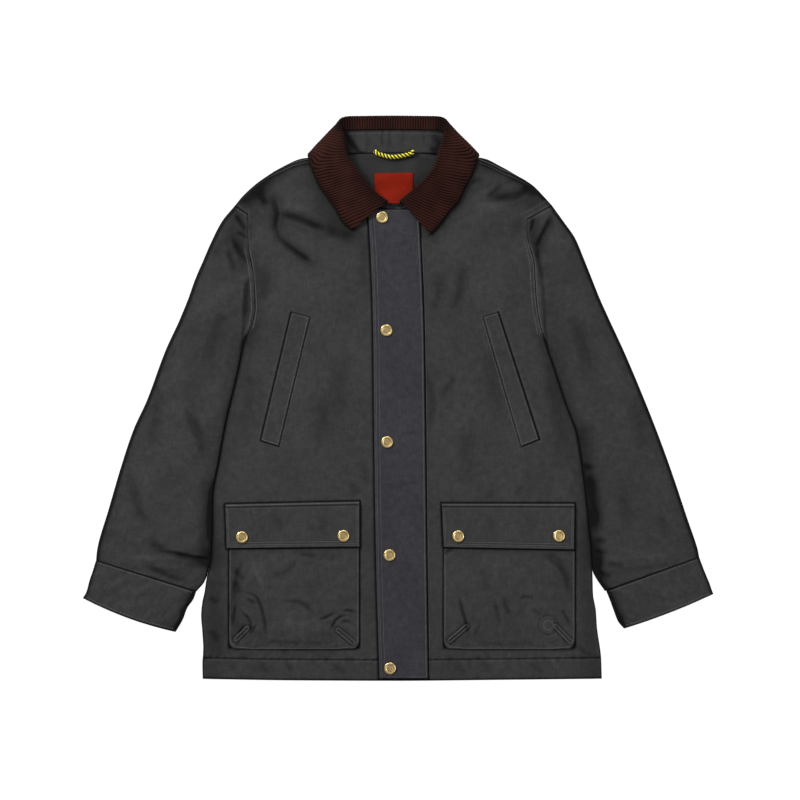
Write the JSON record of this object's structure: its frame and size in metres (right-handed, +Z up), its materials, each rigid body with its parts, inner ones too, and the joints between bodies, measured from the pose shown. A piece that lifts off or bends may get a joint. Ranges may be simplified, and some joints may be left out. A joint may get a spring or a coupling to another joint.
{
  "type": "waxed cotton jacket",
  "caption": "Grey waxed cotton jacket lying flat on its back, with a brown corduroy collar, snapped storm flap, slanted hand pockets and flapped patch pockets.",
  "frame": {"origin": "on the surface it lies on, under the middle of the whole laid-out jacket", "axes": "+X across the chest towards the wearer's left sleeve, +Y up the jacket to the collar, +Z up out of the front"},
  "size_m": [0.9467, 0.8481, 0.0263],
  "materials": {
    "waxed_cotton": "dark charcoal waxed cotton, dry and slightly uneven",
    "placket_cotton": "dark charcoal waxed cotton with a faint blue cast",
    "corduroy": "dark brown cotton corduroy with fine raised ribs",
    "lining": "plain dark grey cotton",
    "label_cloth": "plain red woven label",
    "loop_cord": "twisted yellow and black cord",
    "snap_brass": "antique brass, slightly worn"
  },
  "bodies": {
    "root": {"back": "waxed_cotton", "right_front": "waxed_cotton", "left_front": "waxed_cotton", "right_sleeve": "waxed_cotton", "left_sleeve": "waxed_cotton", "right_cuff": "waxed_cotton", "left_cuff": "waxed_cotton", "storm_flap": "placket_cotton", "right_pocket": "waxed_cotton", "left_pocket": "waxed_cotton", "right_pocket_flap": "waxed_cotton", "left_pocket_flap": "waxed_cotton", "right_welt": "waxed_cotton", "left_welt": "waxed_cotton", "collar_stand": "waxed_cotton", "collar": "corduroy", "neck_facing": "lining", "label": "label_cloth", "hang_loop": "loop_cord", "storm_snap_1": "snap_brass", "storm_snap_2": "snap_brass", "storm_snap_3": "snap_brass", "storm_snap_4": "snap_brass", "storm_snap_5": "snap_brass", "right_pocket_snap_1": "snap_brass", "right_pocket_snap_2": "snap_brass", "left_pocket_snap_1": "snap_brass", "left_pocket_snap_2": "snap_brass"}
  },
  "joints": []
}
